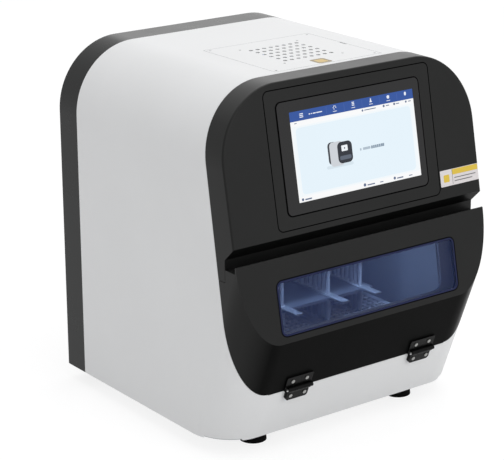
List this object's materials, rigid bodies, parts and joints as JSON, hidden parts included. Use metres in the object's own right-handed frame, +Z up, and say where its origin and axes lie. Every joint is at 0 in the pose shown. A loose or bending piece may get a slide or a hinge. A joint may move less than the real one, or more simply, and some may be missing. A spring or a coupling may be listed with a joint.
{
  "type": "nucleic acid extractor",
  "caption": "Benchtop magnetic-rod nucleic acid extractor with a sloped touch screen, a fold-down window door, well plates, tip combs and a lifting rod gantry.",
  "frame": {"origin": "centre of the casing's footprint, on the surface the feet stand on", "axes": "+X to the right seen from the front, -Y towards the user (the door and screen face -Y), +Z up"},
  "size_m": [0.4, 0.4092, 0.47],
  "materials": {
    "white_shell": "fine textured satin, painted off-white",
    "black_cover": "fine matte moulded texture",
    "black_inner": "matte",
    "grey_panel": "powder coated",
    "steel_plate": "powder coated",
    "rubber_black": "matte",
    "screw_steel": "plated",
    "guard_chrome": "polished wire",
    "fan_plastic": "glass-filled",
    "screen_glass": "polished, black border",
    "display_body": "lit display",
    "window_tint": "blue tinted acrylic",
    "hinge_black": "black coated zinc",
    "magnet_nickel": "nickel plated",
    "liner_metal": "satin",
    "block_aluminium": "machined",
    "arm_aluminium": "anodised",
    "rail_steel": "ground",
    "motor_black": "satin",
    "clear_plastic": "translucent polypropylene",
    "lamp_glass": "quartz tube",
    "supply_metal": "perforated case",
    "board_green": "solder mask"
  },
  "bodies": {
    "housing": {"outer_shell": "white_shell", "base_plate": "steel_plate", "rubber_feet": "rubber_black", "foot_screws": "screw_steel", "rear_bezel": "black_cover", "rear_panel": "grey_panel", "rear_panel_screws": "screw_steel", "fan_guard": "guard_chrome", "rear_fan_frame": "fan_plastic", "exhaust_fan_frame": "fan_plastic", "service_panel": "white_shell", "service_panel_screws": "screw_steel", "front_bezel": "black_cover", "screen_surround": "black_cover", "touch_glass": "screen_glass", "lcd_module": "display_body", "hinge_base_leaves": "hinge_black", "hinge_pins": "screw_steel", "hinge_base_screws": "screw_steel", "opening_frame": "black_inner", "chamber_liner": "liner_metal", "heater_blocks": "block_aluminium", "left_well_plate": "clear_plastic", "right_well_plate": "clear_plastic", "mechanism_backplate": "arm_aluminium", "x_rails": "rail_steel", "x_motor": "motor_black", "x_belt": "rubber_black", "uv_lamp": "lamp_glass", "lamp_holders": "fan_plastic", "power_supply": "supply_metal", "main_board": "board_green", "power_inlet": "fan_plastic", "data_ports": "fan_plastic"},
    "door": {"door_shell": "black_cover", "door_inner_panel": "black_inner", "door_window": "window_tint", "window_gasket": "rubber_black", "hinge_door_leaves": "hinge_black", "hinge_door_screws": "screw_steel", "door_magnets": "magnet_nickel"},
    "gantry": {"x_carriage": "arm_aluminium", "x_bearing_blocks": "rail_steel", "lift_rail": "rail_steel", "lift_motor": "motor_black"},
    "lift_screw": {"lift_screw": "rail_steel"},
    "sleeve_carriage": {"sleeve_holder": "arm_aluminium", "tip_combs": "clear_plastic", "rod_rail": "rail_steel", "rod_motor": "motor_black"},
    "rod_screw": {"rod_screw": "rail_steel"},
    "rod_carriage": {"rod_holder": "arm_aluminium", "magnet_rods": "magnet_nickel"},
    "x_drive_pulley": {"x_drive_pulley": "block_aluminium"},
    "x_idler_pulley": {"x_idler_pulley": "block_aluminium"},
    "rear_fan_rotor": {"rear_fan_rotor": "fan_plastic"},
    "exhaust_fan_rotor": {"exhaust_fan_rotor": "fan_plastic"},
    "power_rocker": {"power_rocker": "fan_plastic"}
  },
  "joints": [
    {"name": "door_hinge", "type": "hinge", "parent": "housing", "child": "door", "pos_m": [0, -0.18008, 0.08699], "axis": [1, 0, 0], "range_deg": [0, 100]},
    {"name": "x_slide", "type": "slide", "parent": "housing", "child": "gantry", "axis": [1, 0, 0], "range_m": [0, 0.045]},
    {"name": "sleeve_lift", "type": "slide", "parent": "gantry", "child": "sleeve_carriage", "axis": [0, 0, 1], "range_m": [-0.032, 0]},
    {"name": "rod_lift", "type": "slide", "parent": "sleeve_carriage", "child": "rod_carriage", "axis": [0, 0, 1], "range_m": [-0.03, 0]},
    {"name": "lift_screw_spin", "type": "hinge", "parent": "gantry", "child": "lift_screw", "pos_m": [0.018, 0.0425, 0.3], "axis": [0, 0, 1], "range_deg": [-10, 1450]},
    {"name": "rod_screw_spin", "type": "hinge", "parent": "sleeve_carriage", "child": "rod_screw", "pos_m": [-0.058, 0.016, 0.3], "axis": [0, 0, 1], "range_deg": [-10, 1370]},
    {"name": "x_drive_spin", "type": "hinge", "parent": "housing", "child": "x_drive_pulley", "pos_m": [-0.125, 0.062, 0.312], "axis": [0, 1, 0], "range_deg": [-10, 415]},
    {"name": "x_idler_spin", "type": "hinge", "parent": "housing", "child": "x_idler_pulley", "pos_m": [0.125, 0.062, 0.312], "axis": [0, 1, 0], "range_deg": [-10, 415]},
    {"name": "rear_fan_spin", "type": "hinge", "parent": "housing", "child": "rear_fan_rotor", "pos_m": [-0.095, 0.185, 0.33], "axis": [0, 1, 0], "continuous": true},
    {"name": "exhaust_fan_spin", "type": "hinge", "parent": "housing", "child": "exhaust_fan_rotor", "pos_m": [0.0073, -0.0249, 0.455], "axis": [0, 0, 1], "continuous": true},
    {"name": "power_switch", "type": "hinge", "parent": "housing", "child": "power_rocker", "pos_m": [0.12, 0.19865, 0.073], "axis": [1, 0, 0], "range_deg": [-24, 0]}
  ],
  "couplings": [
    {"joint": "lift_screw_spin", "follows": "sleeve_lift", "rad_per_m": -785.4},
    {"joint": "rod_screw_spin", "follows": "rod_lift", "rad_per_m": -785.4},
    {"joint": "x_drive_spin", "follows": "x_slide", "rad_per_m": 157.09},
    {"joint": "x_idler_spin", "follows": "x_slide", "rad_per_m": 157.09}
  ]
}
